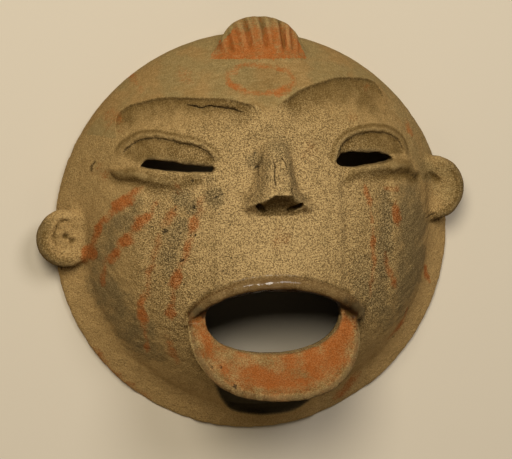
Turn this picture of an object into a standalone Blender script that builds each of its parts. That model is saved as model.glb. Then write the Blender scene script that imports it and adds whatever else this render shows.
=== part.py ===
"""A round face mask of fired clay, lying on its rim with the face up.

Metres, +Z up out of the face, +Y towards the tuft above the forehead. The origin is on the
surface the mask lies on, under the middle of its footprint. The potter pressed one shell,
then joined the nose, lids, lips, ears and tuft to it while the clay was wet, so all of it
is one solid. The face is laid out in millimetres for a rim of DRAWN_RADIUS, and follows
the rim when that changes. Walls, lips, lids and cuts have sizes of their own.
"""

import math

import bmesh
import bpy
import numpy as np
from mathutils import Matrix, Vector

# The shell
RIM_RADIUS = 0.091
WALL = 0.0065
RIM_EDGE = 0.003  # height of the upright edge where the shell meets the table
FLANGE_WIDTH = 0.013  # the flat border that runs round the chin and cheeks
FLANGE_HEIGHT = 0.013
CROWN_HEIGHT = 0.058
MUZZLE_RISE = 0.008  # how far the mouth stands out of the dome

# The brows, and the hollow under each
BROW_RISE = 0.0016
BROW_WIDTH = 0.0024
SOCKET_DEPTH = 0.0034
SOCKET_WIDTH = 0.0065

# What was joined on, and what was cut away
LID_RADIUS = 0.0021
LOWER_LID_RADIUS = 0.0028
EYE_SLIT = 0.0054
NOSE_RISE = 0.0145
NOSE_RIDGE_WIDTH = 0.011
NOSTRIL_RADIUS = 0.0021
NOSTRIL_DEPTH = 0.008
UPPER_LIP_RADIUS = 0.0025
LOWER_LIP_THICKNESS = 0.0052
LOWER_LIP_REACH = 0.026
LOWER_LIP_SAG = 0.0024  # how hollow its upper face is
EAR_RADIUS = 0.0135
EAR_THICKNESS = 0.0072
EAR_DIP_RADIUS = 0.0042
EAR_DIP_DEPTH = 0.0016
TUFT_THICKNESS = 0.017
TUFT_LEAN = math.radians(-32)
GROOVE_RADIUS = 0.001
GROOVE_COUNT = 7

# The face's layout, in millimetres on a rim of this radius, from the rim's middle
DRAWN_RADIUS = 91.0
FACE = RIM_RADIUS / DRAWN_RADIUS
BROWS = (
    [(-66, 46), (-63, 56), (-53, 61), (-38, 64), (-19, 62.5), (-5, 58)],
    [(1, 58), (10, 64), (24, 70), (38, 73), (49, 73), (57, 66), (60, 59)],
)
UPPER_LIDS = (
    [(-64, 37), (-61, 42), (-52, 46.3), (-38, 45), (-30, 41.5), (-26.5, 36)],
    [(26, 37), (28, 42.5), (37, 47), (51, 48), (61, 45), (65, 39)],
)
LOWER_LIDS = (
    [(-67, 31), (-59, 31), (-50, 29), (-40, 28.5), (-30, 30)],
    [(29, 31), (38, 30), (48, 31.5), (58, 31.5), (68, 29)],
)
EYE_SLITS = (
    [(-57, 34.6), (-42, 34.1), (-27.5, 33.2)],
    [(27.6, 35.4), (42, 36.2), (56, 36.4)],
)
NOSE_TOP = (-0.8, 45.5)
NOSE_TIP = (-2.6, 19.5)
NOSE_BASE = (-1.0, 14.0)
NOSE_WING = 14.8  # half the width across the nostrils
NOSTRIL_X = 7.0
UPPER_LIP = [(-38.5, -31.5), (-29, -23.6), (-17, -18), (0, -16.2), (16, -18), (29, -24), (40.5, -31.5)]
MOUTH_MIDDLE = (0.3, -31.0)
MOUTH_HALF_WIDTH = 31.0
MOUTH_UP = 12.6
MOUTH_DOWN = 16.4
LIP_HALF_WIDTH = 39.6
LIP_DOWN = 32.0
LEFT_EAR = (-88.0, 1.0)
RIGHT_EAR = (83.0, 20.0)
TUFT_MIDDLE = (-0.4, 80.0)
TUFT_HALF_WIDTH = 19.0
TUFT_REACH = 20.0
MUZZLE_MIDDLE = (0.0, -28.0)
MUZZLE_SPREAD = (28.0, 24.0)

# How finely the clay is shaped, and how many triangles the finished solid may have
RING_SEGMENTS = 192
RINGS = 88
HOLLOW_SEGMENTS = 72
HOLLOW_RINGS = 16
CURVE_STEPS = 6
CLAY_GRAIN = 0.0014
SMOOTH_PASSES = 3
TRIANGLES = 6000  # of the outer face, before the hollow and the openings are cut
BASE_DEPTH = 0.012  # how far the uncut clay runs under the table
OVERREACH = 0.02  # how far a cutter runs past what it cuts

CLAY_COLOUR = (0.30, 0.22, 0.13, 1.0)
CLAY_ROUGHNESS = 0.78


def new_collection(name):
    collection = bpy.data.collections.new(name)
    bpy.context.scene.collection.children.link(collection)
    return collection


def object_from(bm, name, collection):
    """Turns a bmesh into an object, with its faces pointing out."""
    bm.normal_update()
    bmesh.ops.recalc_face_normals(bm, faces=bm.faces)
    mesh = bpy.data.meshes.new(name)
    bm.to_mesh(mesh)
    bm.free()
    made = bpy.data.objects.new(name, mesh)
    collection.objects.link(made)
    return made


def baked(source):
    """Replaces an object by the mesh that its curve and modifiers give."""
    graph = bpy.context.evaluated_depsgraph_get()
    mesh = bpy.data.meshes.new_from_object(source.evaluated_get(graph))
    mesh.transform(source.matrix_world)
    bm = bmesh.new()
    bm.from_mesh(mesh)
    bmesh.ops.remove_doubles(bm, verts=bm.verts, dist=1e-6)
    name, collection = source.name, source.users_collection[0]
    bpy.data.objects.remove(source)
    return object_from(bm, name, collection)


def smooth_step(t):
    t = np.clip(t, 0.0, 1.0)
    return t * t * (3 - 2 * t)


def smooth_max(a, b, reach):
    """The larger of two heights, with the crease between them filled over `reach`."""
    t = np.clip(0.5 + 0.5 * (a - b) / reach, 0.0, 1.0)
    return b + (a - b) * t + reach * t * (1 - t)


def rounded(points, steps=CURVE_STEPS):
    """A smooth open curve through layout points, in metres: a Catmull-Rom spline."""
    p = np.array(points, float) * FACE
    p = np.vstack([2 * p[0] - p[1], p, 2 * p[-1] - p[-2]])
    t = np.linspace(0, 1, steps, endpoint=False)[:, None]
    spans = []
    for a, b, c, d in zip(p, p[1:], p[2:], p[3:]):
        bend = 2 * a - 5 * b + 4 * c - d
        twist = 3 * b - a - 3 * c + d
        spans.append(0.5 * (2 * b + (c - a) * t + bend * t**2 + twist * t**3))
    return np.vstack([*spans, p[-2]])


# The shell's outer face, as a height over the table


def crown(radius, foot_radius, foot_height):
    """A full dome that comes down to foot_height at foot_radius, and falls away outside it."""
    q = 1 - (radius / foot_radius) ** 3
    return foot_height + (CROWN_HEIGHT - foot_height) * np.sign(q) * np.abs(q) ** 0.75


def dome(x, y):
    """The plain shell: a bowl over the forehead, a crown inside a flange round the chin."""
    radius = np.hypot(x, y)
    bowl = crown(np.minimum(radius, RIM_RADIUS), RIM_RADIUS, RIM_EDGE)
    foot_radius = RIM_RADIUS - FLANGE_WIDTH
    rise = (FLANGE_HEIGHT - RIM_EDGE) / FLANGE_WIDTH
    flange = RIM_EDGE + rise * (RIM_RADIUS - radius)
    inner = crown(radius, foot_radius, FLANGE_HEIGHT)
    near_flange = smooth_step((radius / foot_radius - 0.75) / 0.15)
    hat = inner + near_flange * (smooth_max(inner, flange, 0.006) - inner)
    upward = y / np.maximum(radius, 1e-9)
    height = hat + (bowl - hat) * smooth_step((upward + 0.2) / 0.9)
    along, across = (np.array(MUZZLE_MIDDLE) * FACE), (np.array(MUZZLE_SPREAD) * FACE)
    muzzle = np.exp(-(((x - along[0]) / across[0]) ** 2 + ((y - along[1]) / across[1]) ** 2) / 2)
    return height + MUZZLE_RISE * muzzle


def beside_brow(line, x, y):
    """How far each point lies above a brow's line, negative below it, and how far past its ends."""
    best = np.full(np.shape(x), 1e9)
    side = np.zeros(np.shape(x))
    past = np.zeros(np.shape(x))
    last = len(line) - 2
    for i, (a, b) in enumerate(zip(line[:-1], line[1:])):
        step = b - a
        length = math.hypot(*step)
        along = ((x - a[0]) * step[0] + (y - a[1]) * step[1]) / length
        on_line = np.clip(along, 0, length)
        dx = x - a[0] - on_line * step[0] / length
        dy = y - a[1] - on_line * step[1] / length
        distance = np.hypot(dx, dy)
        nearer = distance < best
        best = np.where(nearer, distance, best)
        side = np.where(nearer, np.sign(step[0] * dy - step[1] * dx), side)
        beyond = np.abs(along - on_line) if i in (0, last) else 0
        past = np.where(nearer, beyond, past)
    return best * side, past


def brow_relief(x, y):
    """A low ridge along each brow, and the hollow of the eye socket just under it."""
    ridge = np.zeros(np.shape(x))
    hollow = np.zeros(np.shape(x))
    for points in BROWS:
        above, past = beside_brow(rounded(points), x, y)
        fade = np.exp(-((past / SOCKET_WIDTH) ** 2))
        ridge = np.maximum(ridge, fade * np.exp(-((above / BROW_WIDTH) ** 2)))
        under = np.maximum(-above / SOCKET_WIDTH, 0)
        hollow = np.maximum(hollow, fade * under * np.exp(1 - under))
    return BROW_RISE * ridge - SOCKET_DEPTH * hollow


def relief(x, y):
    return dome(x, y) + brow_relief(x, y)


def surface_point(x, y, lift=0.0):
    """The point of the outer face over (x, y), raised by lift."""
    return Vector((x, y, float(relief(np.array(x), np.array(y))) + lift))


def dome_normal(x, y):
    step = 0.0005
    slope_x = (dome(x + step, y) - dome(x - step, y)) / (2 * step)
    slope_y = (dome(x, y + step) - dome(x, y - step)) / (2 * step)
    normal = np.stack([-slope_x, -slope_y, np.ones(np.shape(x))], axis=-1)
    return normal / np.linalg.norm(normal, axis=-1, keepdims=True)


def outer_face(x, y):
    return np.stack([x, y, relief(x, y)], axis=-1)


def inner_face(x, y):
    """The wall's inner side: the plain shell, moved in by WALL, without the brows."""
    return np.stack([x, y, dome(x, y)], axis=-1) - WALL * dome_normal(x, y)


def pressed_ball(name, segments, rings, face, collection):
    """A ball pressed flat: its upper half follows a face, its lower half lies under the table."""
    bm = bmesh.new()
    bmesh.ops.create_uvsphere(bm, u_segments=segments, v_segments=2 * rings, radius=1)
    unit = np.array([v.co for v in bm.verts])
    share = np.hypot(unit[:, 0], unit[:, 1])
    angle = np.arctan2(unit[:, 1], unit[:, 0])
    out = RIM_RADIUS * np.stack([np.cos(angle), np.sin(angle)])
    above = face(*(out * share))
    below = face(*out) * share[:, None]
    below[:, 2] = -BASE_DEPTH
    upper = unit[:, 2] > 1e-6
    for vertex, place in zip(bm.verts, np.where(upper[:, None], above, below)):
        vertex.co = place
    return object_from(bm, name, collection)


# What is joined to the shell


def make_tube(name, points, radii, collection):
    """A round bar along points in space, with closed ends."""
    curve = bpy.data.curves.new(name, "CURVE")
    curve.dimensions = "3D"
    curve.bevel_depth = 1.0
    curve.bevel_resolution = 2
    curve.use_fill_caps = True
    spline = curve.splines.new("POLY")
    spline.points.add(len(points) - 1)
    for knot, point, radius in zip(spline.points, points, radii):
        knot.co = (*point, 1)
        knot.radius = radius
    made = bpy.data.objects.new(name, curve)
    collection.objects.link(made)
    bpy.context.view_layer.update()
    return baked(made)


def make_roll(name, points, radius, collection, lift=0.0):
    """A roll of clay laid along layout points on the shell, thinner at both ends."""
    path = [surface_point(x, y, lift) for x, y in rounded(points)]
    swell = np.sin(np.linspace(0, math.pi, len(path)))
    return make_tube(name, path, radius * (0.55 + 0.45 * swell), collection)


def make_nose(collection):
    """A wedge: a narrow ridge from between the brows to the tip, and two wings at its base."""
    top_x, top_y = np.array(NOSE_TOP) * FACE
    tip_x, tip_y = np.array(NOSE_TIP) * FACE
    base_x, base_y = np.array(NOSE_BASE) * FACE
    wing = NOSE_WING * FACE
    ridge = NOSE_RIDGE_WIDTH / 2
    corners = []
    for side in (-1, 1):
        corners += [
            surface_point(top_x + side * ridge * 0.6, top_y),
            surface_point(top_x + side * ridge * 0.6, top_y, -WALL),
            surface_point(tip_x + side * ridge, tip_y, NOSE_RISE),
            surface_point(tip_x + side * ridge, base_y + WALL * 0.2, NOSE_RISE * 0.86),
            surface_point(base_x + side * wing, base_y, NOSE_RISE * 0.12),
            surface_point(base_x + side * wing * 0.95, base_y, -WALL),
            surface_point(base_x + side * wing * 0.8, tip_y + WALL, 0),
        ]
    bm = bmesh.new()
    for corner in corners:
        bm.verts.new(corner)
    hull = bmesh.ops.convex_hull(bm, input=bm.verts)
    bmesh.ops.delete(bm, geom=hull["geom_interior"] + hull["geom_unused"], context="VERTS")
    return object_from(bm, "nose", collection)


def lip_edges(t):
    """The lower lip's inner and outer edge at t, from the left corner (0) to the right (1)."""
    middle_x, middle_y = np.array(MOUTH_MIDDLE) * FACE
    across, down = -math.cos(math.pi * t), math.sin(math.pi * t)
    inner_x = middle_x + MOUTH_HALF_WIDTH * FACE * across
    inner_y = middle_y - MOUTH_DOWN * FACE * down
    outer_x = middle_x + LIP_HALF_WIDTH * FACE * across
    outer_y = middle_y - LIP_DOWN * FACE * down
    inner = surface_point(inner_x, inner_y, -0.0006)
    rise = LOWER_LIP_REACH * down**1.1
    return inner, Vector((outer_x, outer_y, inner.z - WALL * 0.25 + rise))


def make_lower_lip(collection):
    """A scoop that juts out under the mouth: a hollow strip from the opening to its edge."""
    rows, columns = 33, 9
    bm = bmesh.new()
    grid = []
    for i in range(rows):
        inner, outer = lip_edges(i / (rows - 1))
        down = Vector((0, -0.5, -1)).normalized()
        row = []
        for j in range(columns):
            s = -0.12 + 1.12 * j / (columns - 1)
            sag = LOWER_LIP_SAG * math.sin(math.pi * max(s, 0)) * math.sin(math.pi * i / (rows - 1))
            row.append(bm.verts.new(inner.lerp(outer, s) + down * sag))
        grid.append(row)
    for lower, upper in zip(grid, grid[1:]):
        for j in range(columns - 1):
            bm.faces.new((lower[j], upper[j], upper[j + 1], lower[j + 1]))
    bmesh.ops.recalc_face_normals(bm, faces=bm.faces)
    mesh = bpy.data.meshes.new("lower_lip")
    bm.to_mesh(mesh)
    bm.free()
    if mesh.polygons[len(mesh.polygons) // 2].normal.z < 0:
        mesh.flip_normals()
    lip = bpy.data.objects.new("lower_lip", mesh)
    collection.objects.link(lip)
    thick = lip.modifiers.new("thickness", "SOLIDIFY")
    thick.thickness = LOWER_LIP_THICKNESS
    thick.offset = -1
    bpy.context.view_layer.update()
    return baked(lip)


def ear_place(middle):
    """Where an ear's middle is: level with the shell's side that it is pressed against."""
    x, y = np.array(middle) * FACE
    seat = Vector((x, y)).normalized() * (RIM_RADIUS - FLANGE_WIDTH)
    return Vector((x, y, surface_point(seat.x, seat.y).z * 0.5 + EAR_THICKNESS * 0.55))


def make_ear(name, middle, collection):
    """A flat round cake of clay with a softened edge, pressed on the side of the shell."""
    bm = bmesh.new()
    bmesh.ops.create_cone(
        bm, cap_ends=True, segments=48, radius1=EAR_RADIUS, radius2=EAR_RADIUS, depth=EAR_THICKNESS
    )
    ear = object_from(bm, name, collection)
    ear.location = ear_place(middle)
    soft = ear.modifiers.new("soft edge", "BEVEL")
    soft.width = EAR_THICKNESS * 0.4
    soft.segments = 4
    soft.limit_method = "ANGLE"
    bpy.context.view_layer.update()
    return baked(ear)


def tuft_frame():
    """Where the tuft's middle is, leaning back over the edge of the forehead."""
    x, y = np.array(TUFT_MIDDLE) * FACE
    place = Vector((x, y, surface_point(x, y).z - TUFT_THICKNESS * 0.28))
    return Matrix.Translation(place) @ Matrix.Rotation(TUFT_LEAN, 4, "X")


def tuft_point(across, along):
    """A point of the tuft's face, from shares of its half width and of its reach."""
    up = math.sqrt(max(1 - across**2 - along**2, 0))
    flat = Vector((across * TUFT_HALF_WIDTH * FACE, along * TUFT_REACH * FACE, up * TUFT_THICKNESS / 2))
    return tuft_frame() @ flat


def make_tuft(collection):
    """A half-round lump of hair on the edge above the forehead."""
    bm = bmesh.new()
    bmesh.ops.create_uvsphere(bm, u_segments=40, v_segments=24, radius=1)
    size = (TUFT_HALF_WIDTH * FACE, TUFT_REACH * FACE, TUFT_THICKNESS / 2)
    bmesh.ops.scale(bm, vec=size, verts=bm.verts)
    bm.transform(tuft_frame())
    return object_from(bm, "tuft", collection)


# What is cut away


def as_cutter(cutter):
    cutter.hide_render = True
    cutter.display_type = "WIRE"
    return cutter


def make_prism(name, outline, low, high, collection):
    """An upright prism with a closed outline, from low to high."""
    curve = bpy.data.curves.new(name, "CURVE")
    curve.dimensions = "2D"
    curve.fill_mode = "BOTH"
    curve.extrude = (high - low) / 2
    spline = curve.splines.new("POLY")
    spline.points.add(len(outline) - 1)
    spline.use_cyclic_u = True
    for point, (x, y) in zip(spline.points, outline):
        point.co = (x, y, 0, 1)
    made = bpy.data.objects.new(name, curve)
    made.location.z = (low + high) / 2
    collection.objects.link(made)
    bpy.context.view_layer.update()
    return as_cutter(baked(made))


def cut_mouth(collection):
    middle_x, middle_y = np.array(MOUTH_MIDDLE) * FACE
    outline = []
    for i in range(48):
        a = 2 * math.pi * i / 48
        reach = MOUTH_UP if math.sin(a) > 0 else MOUTH_DOWN
        across = MOUTH_HALF_WIDTH * FACE * math.cos(a)
        outline.append((middle_x + across, middle_y + reach * FACE * math.sin(a)))
    return make_prism("mouth_cut", outline, -OVERREACH, CROWN_HEIGHT + LOWER_LIP_REACH, collection)


def cut_eye(name, points, collection):
    """A slit straight through the face, as tall as EYE_SLIT and narrowing at its ends."""
    line = rounded(points)
    upper, lower = [], []
    for i, (x, y) in enumerate(line):
        half = EYE_SLIT / 2 * min(1, 0.45 + 2.2 * math.sin(math.pi * i / (len(line) - 1)))
        upper.append((x, y + half))
        lower.append((x, y - half))
    return make_prism(name, upper + lower[::-1], -OVERREACH, CROWN_HEIGHT + OVERREACH, collection)


def make_rod(name, start, end, radius, collection):
    """A straight round cutter from start to end."""
    start, end = Vector(start), Vector(end)
    bm = bmesh.new()
    bmesh.ops.create_cone(
        bm, cap_ends=True, segments=16, radius1=radius, radius2=radius, depth=(end - start).length
    )
    turn = (end - start).to_track_quat("Z", "Y").to_matrix().to_4x4()
    bm.transform(Matrix.Translation((start + end) / 2) @ turn)
    return as_cutter(object_from(bm, name, collection))


def cut_nostrils(collection):
    base_x, base_y = np.array(NOSE_BASE) * FACE
    for name, side in (("left", -1), ("right", 1)):
        base = surface_point(base_x + side * NOSTRIL_X * FACE, base_y, NOSE_RISE * 0.35)
        inward = Vector((0, 0.8, -0.6))
        start, end = base - inward * OVERREACH, base + inward * NOSTRIL_DEPTH
        make_rod(f"nostril_{name}_cut", start, end, NOSTRIL_RADIUS, collection)


def cut_ears(collection):
    for name, middle in (("left", LEFT_EAR), ("right", RIGHT_EAR)):
        place = ear_place(middle)
        face = place.z + EAR_THICKNESS / 2
        foot = (place.x, place.y, face - EAR_DIP_DEPTH)
        make_rod(f"ear_{name}_dip", foot, (place.x, place.y, face + OVERREACH), EAR_DIP_RADIUS, collection)


def cut_tuft_grooves(collection):
    """Combed grooves that run up the tuft's face, side by side."""
    for i in range(GROOVE_COUNT):
        side = 1.6 * (i + 0.5) / GROOVE_COUNT - 0.8
        end = 0.9 * math.sqrt(1 - side**2)
        path = [tuft_point(side, along) for along in np.linspace(-0.05, end, 7)]
        as_cutter(make_tube(f"groove_{i}", path, [GROOVE_RADIUS] * 7, collection))


def make_table(collection):
    """The block whose top is the table: it cuts the foot of the rim flat."""
    bm = bmesh.new()
    bmesh.ops.create_cube(bm, size=1)
    side = 3 * RIM_RADIUS
    bmesh.ops.scale(bm, vec=(side, side, side), verts=bm.verts)
    bmesh.ops.translate(bm, vec=(0, 0, -side / 2), verts=bm.verts)
    return as_cutter(object_from(bm, "table_cut", collection))


# The mask


def clay_material():
    material = bpy.data.materials.new("fired_clay")
    material.use_nodes = True
    shader = material.node_tree.nodes["Principled BSDF"]
    shader.inputs["Base Color"].default_value = CLAY_COLOUR
    shader.inputs["Roughness"].default_value = CLAY_ROUGHNESS
    shader.inputs["Metallic"].default_value = 0.0
    return material


def fused(lumps, name, collection):
    """Presses the lumps into one body, softens its joints and keeps only the faces it needs."""
    bm = bmesh.new()
    for lump in lumps:
        bm.from_mesh(lump.data)
        bpy.data.objects.remove(lump)
    body = object_from(bm, name, collection)
    fuse = body.modifiers.new("fuse", "REMESH")
    fuse.mode = "VOXEL"
    fuse.voxel_size = CLAY_GRAIN
    soften = body.modifiers.new("soften", "SMOOTH")
    soften.iterations = SMOOTH_PASSES
    body = baked(body)
    body.data.calc_loop_triangles()
    fewer = body.modifiers.new("fewer faces", "DECIMATE")
    fewer.ratio = min(1.0, TRIANGLES / len(body.data.loop_triangles))
    body = baked(body)
    body.data.shade_smooth()
    body.data.set_sharp_from_angle(angle=math.radians(50))
    return body


def evaluated_mesh(obj):
    bpy.context.view_layer.update()
    return obj.evaluated_get(bpy.context.evaluated_depsgraph_get()).data


def main():
    for old in list(bpy.data.objects):
        bpy.data.objects.remove(old)
    parts = new_collection("face_mask")
    openings = new_collection("cutters")

    lumps = [
        pressed_ball("shell", RING_SEGMENTS, RINGS, outer_face, parts),
        make_nose(parts),
        make_lower_lip(parts),
        make_roll("upper_lip", UPPER_LIP, UPPER_LIP_RADIUS, parts, UPPER_LIP_RADIUS * 0.3),
        make_ear("left_ear", LEFT_EAR, parts),
        make_ear("right_ear", RIGHT_EAR, parts),
        make_tuft(parts),
    ]
    for upper, lower in zip(UPPER_LIDS, LOWER_LIDS):
        lumps.append(make_roll("upper_lid", upper, LID_RADIUS, parts))
        lumps.append(make_roll("lower_lid", lower, LOWER_LID_RADIUS, parts))
    mask = fused(lumps, "clay_mask", parts)
    mask.data.materials.append(clay_material())

    as_cutter(pressed_ball("hollow", HOLLOW_SEGMENTS, HOLLOW_RINGS, inner_face, openings))
    cut_mouth(openings)
    for name, points in zip(("eye_left_cut", "eye_right_cut"), EYE_SLITS):
        cut_eye(name, points, openings)
    cut_nostrils(openings)
    cut_ears(openings)
    cut_tuft_grooves(openings)
    make_table(openings)
    for cutter in list(openings.objects):
        cut = mask.modifiers.new(cutter.name, "BOOLEAN")
        cut.operation = "DIFFERENCE"
        cut.object = cutter

    corners = np.array([v.co for v in evaluated_mesh(mask).vertices])
    middle = (corners.min(axis=0) + corners.max(axis=0)) / 2
    frame = bpy.data.objects.new("mask_frame", None)
    parts.objects.link(frame)
    frame.location = (-middle[0], -middle[1], 0)
    for piece in [mask, *openings.objects]:
        piece.parent = frame


main()
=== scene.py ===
import math

import bpy
import numpy as np
from mathutils import Matrix, Vector


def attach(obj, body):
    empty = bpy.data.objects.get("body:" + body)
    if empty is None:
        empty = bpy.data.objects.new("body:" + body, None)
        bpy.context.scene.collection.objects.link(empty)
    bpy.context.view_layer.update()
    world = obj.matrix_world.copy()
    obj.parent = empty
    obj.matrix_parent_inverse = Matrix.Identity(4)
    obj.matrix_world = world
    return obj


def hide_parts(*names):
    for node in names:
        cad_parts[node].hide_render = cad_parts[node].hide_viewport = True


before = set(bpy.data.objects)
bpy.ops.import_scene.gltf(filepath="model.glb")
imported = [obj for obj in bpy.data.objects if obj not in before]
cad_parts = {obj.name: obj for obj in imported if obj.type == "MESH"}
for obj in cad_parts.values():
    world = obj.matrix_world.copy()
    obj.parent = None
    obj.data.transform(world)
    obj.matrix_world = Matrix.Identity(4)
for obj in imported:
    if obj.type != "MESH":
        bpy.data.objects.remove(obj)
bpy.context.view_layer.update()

# The shell
# A bowl of coarse clay pressed over a form by hand: a full forehead that runs down to the
# rim, and cheeks and a chin inside a flat flange. It is laid out in millimetres from the
# middle of the round rim, x to the right, y to the tuft and z up from the table.
RIM = 91.0
RIM_CENTRE = (2.54, -3.18)  # from the middle of the whole mask
WALL = 6.5
RIM_EDGE = 3.0
FLANGE_WIDTH = 13.0
FLANGE_HEIGHT = 13.0
CROWN = 58.0
MUZZLE = 8.0
MUZZLE_Y = -28.0
MUZZLE_HALF_WIDTH, MUZZLE_HALF_HEIGHT = 28.0, 24.0
CELL = 0.7

grid_x = np.arange(-103.6, 99.5, CELL)
grid_y = np.arange(-93.1, 100.5, CELL)
grid_z = np.arange(-2.1, 84.2, CELL)
X, Y = np.meshgrid(grid_x, grid_y)
radius = np.hypot(X, Y)


def ease(t):
    t = np.clip(t, 0.0, 1.0)
    return t * t * (3 - 2 * t)


def hill(distance, width):
    return np.exp(-((distance / width) ** 2))


def higher(a, b, reach):
    """The higher of two surfaces, with the crease between them filled over `reach`."""
    t = np.clip(0.5 + 0.5 * (a - b) / reach, 0.0, 1.0)
    return b + (a - b) * t + reach * t * (1 - t)


def uneven(size, seed, x, y):
    """Smooth random swells about `size` across, from -1 to 1, as hands leave in clay."""
    lattice = np.random.RandomState(seed).uniform(-1, 1, (512, 512))
    u, v = x / size + 200, y / size + 200
    i, j = np.floor(u).astype(int), np.floor(v).astype(int)
    s, t = ease(u - i), ease(v - j)
    i, j = i % 511, j % 511
    low = lattice[j, i] * (1 - s) + lattice[j, i + 1] * s
    high = lattice[j + 1, i] * (1 - s) + lattice[j + 1, i + 1] * s
    return low * (1 - t) + high * t


def crown(r, foot_radius, foot_height):
    q = 1 - (r / foot_radius) ** 3
    return foot_height + (CROWN - foot_height) * np.sign(q) * np.abs(q) ** 0.75


bowl = crown(np.minimum(radius, RIM), RIM, RIM_EDGE)
foot = RIM - FLANGE_WIDTH
flange = RIM_EDGE + (FLANGE_HEIGHT - RIM_EDGE) / FLANGE_WIDTH * (RIM - radius)
cheeks = crown(radius, foot, FLANGE_HEIGHT)
hat = cheeks + ease((radius / foot - 0.75) / 0.15) * (higher(cheeks, flange, 12.0) - cheeks)
upward = Y / np.maximum(radius, 1e-6)
pressed = hat + (bowl - hat) * ease((upward + 0.2) / 0.9)
pressed += MUZZLE * np.exp(-((X / MUZZLE_HALF_WIDTH) ** 2 + ((Y - MUZZLE_Y) / MUZZLE_HALF_HEIGHT) ** 2) / 2)
inner_part = ease((RIM - radius) / 14)
face = pressed + inner_part * (0.5 * uneven(24, 1, X, Y) + 0.2 * uneven(8, 2, X, Y))

# The brows
# The potter wiped the forehead smooth down to an edge over each eye. Under the left edge
# runs a thin strip of clay that cracked along its lower side; the right one is broader.
BROWS = (
    [(-66, 44), (-65.2, 51.3), (-63.7, 55.1), (-59, 58.7), (-51.6, 61.1), (-45.3, 62.4), (-38.2, 62.5),
     (-30.3, 62.3), (-19.6, 62.1), (-12.8, 60.5), (-6.9, 59.1), (-4.3, 56.9)],
    [(0.5, 57.5), (4.4, 60.5), (8.8, 63), (14.4, 66.1), (23.3, 68.8), (32.5, 70.7), (38.9, 70.7),
     (47.1, 70.1), (52.1, 68.5), (54.9, 65), (56.1, 60.2), (56.9, 57.3)],
)
BROW_DROPS = ((3.0, 1.5, 9.0), (3.8, 2.4, 12.0))  # how far down, over what width, healed over what width
BROW_CRACK = [(-37, 59.9), (-33.5, 59), (-29.9, 58.4), (-26.8, 59), (-22.4, 58.8), (-18.1, 58.2),
              (-11.8, 56.2)]


def smooth_line(points, steps=6):
    """A smooth line through points: a Catmull-Rom spline."""
    p = np.array(points, float)
    p = np.vstack([2 * p[0] - p[1], p, 2 * p[-1] - p[-2]])
    t = np.linspace(0, 1, steps, endpoint=False)[:, None]
    spans = []
    for a, b, c, d in zip(p, p[1:], p[2:], p[3:]):
        bend = 2 * a - 5 * b + 4 * c - d
        twist = 3 * b - a - 3 * c + d
        spans.append(0.5 * (2 * b + (c - a) * t + bend * t**2 + twist * t**3))
    return np.vstack([*spans, p[-2]])


def beside(points, x, y):
    """The distance from a line, negative on its right, and the share of the way along it."""
    line = smooth_line(points)
    lengths = np.hypot(*np.diff(line, axis=0).T)
    reached = np.concatenate([[0], np.cumsum(lengths)])
    best = np.full(np.shape(x), 1e9)
    side = np.zeros(np.shape(x))
    share = np.zeros(np.shape(x))
    for a, b, length, before in zip(line[:-1], line[1:], lengths, reached):
        way = (b - a) / length
        along = np.clip((x - a[0]) * way[0] + (y - a[1]) * way[1], 0, length)
        dx, dy = x - a[0] - along * way[0], y - a[1] - along * way[1]
        distance = np.hypot(dx, dy)
        nearer = distance < best
        best = np.where(nearer, distance, best)
        side = np.where(nearer, np.sign(way[0] * dy - way[1] * dx), side)
        share = np.where(nearer, (before + along) / reached[-1], share)
    return best * side, share


def ends(share, taper):
    """1 along a line, easing to 0 over `taper` of its length at both ends."""
    return ease(share / taper) * ease((1 - share) / taper)


for points, (drop, width, healed) in zip(BROWS, BROW_DROPS):
    above, share = beside(points, X, Y)
    under = np.maximum(-above, 0)
    face -= drop * ends(share, 0.13) * (1 - np.exp(-under / width)) * hill(under, healed)
    face += 0.6 * ends(share, 0.13) * hill(above - 1.6, 2.4)
above, share = beside(BROW_CRACK, X, Y)
face += 1.1 * ends(share, 0.2) * hill(above - 1.5, 1.1)
face -= 0.7 * ends(share, 0.2) * hill(above, 0.7)

# The eyes
# Each eye is a lid of clay let in under an arched roll, with a slit cut right through it
# with a blade, and a fuller roll under it that is thickest at its outer end.
LID_EDGES = (
    [(-64.2, 36), (-62.6, 39.7), (-59, 43), (-54.3, 45), (-49.3, 45.2), (-43.1, 44.1), (-36.9, 43),
     (-32.3, 41.5), (-28.2, 38.3), (-26, 34.6)],
    [(27, 33), (27.5, 36.8), (29.8, 41.5), (33.9, 44.7), (40, 46.5), (46.3, 47.1), (53.2, 46.2),
     (59, 43.3), (61.4, 39.2), (61.6, 36)],
)
LOWER_LIDS = (
    [(-68.8, 32), (-67.8, 28.9), (-64.4, 27), (-59.7, 27.2), (-55.2, 26), (-50.2, 24.7), (-43.4, 23.9),
     (-37.6, 25.1), (-30, 27.3)],
    [(29, 28), (31.7, 26.2), (35.6, 27.3), (42.1, 28.6), (52.5, 29.4), (62.6, 29.1), (67.7, 26.9),
     (69.5, 29.5)],
)
SLITS = (  # places from left to right, with the upper and the lower edge at each
    ((-57.2, -54.2, -45.6, -37.2, -31, -27, -26.4),
     (33.2, 36.0, 35.4, 34.3, 33.8, 33.6, 32.8),
     (33.0, 32.2, 31.4, 31.0, 30.9, 31.1, 32.0)),
    ((27.0, 28.2, 29.9, 36.3, 42.9, 49.8, 53.0, 55.4),
     (35.6, 37.4, 38.4, 38.8, 38.6, 37.7, 36.9, 35.6),
     (35.2, 33.4, 32.6, 32.4, 33.0, 33.7, 34.2, 35.2)),
)
LID_ROLL, LID_SUNK = 2.0, 0.9
LOWER_ROLL, LOWER_CREASE = 3.0, 1.5
SLIT_PRESSED = 1.6


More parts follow.
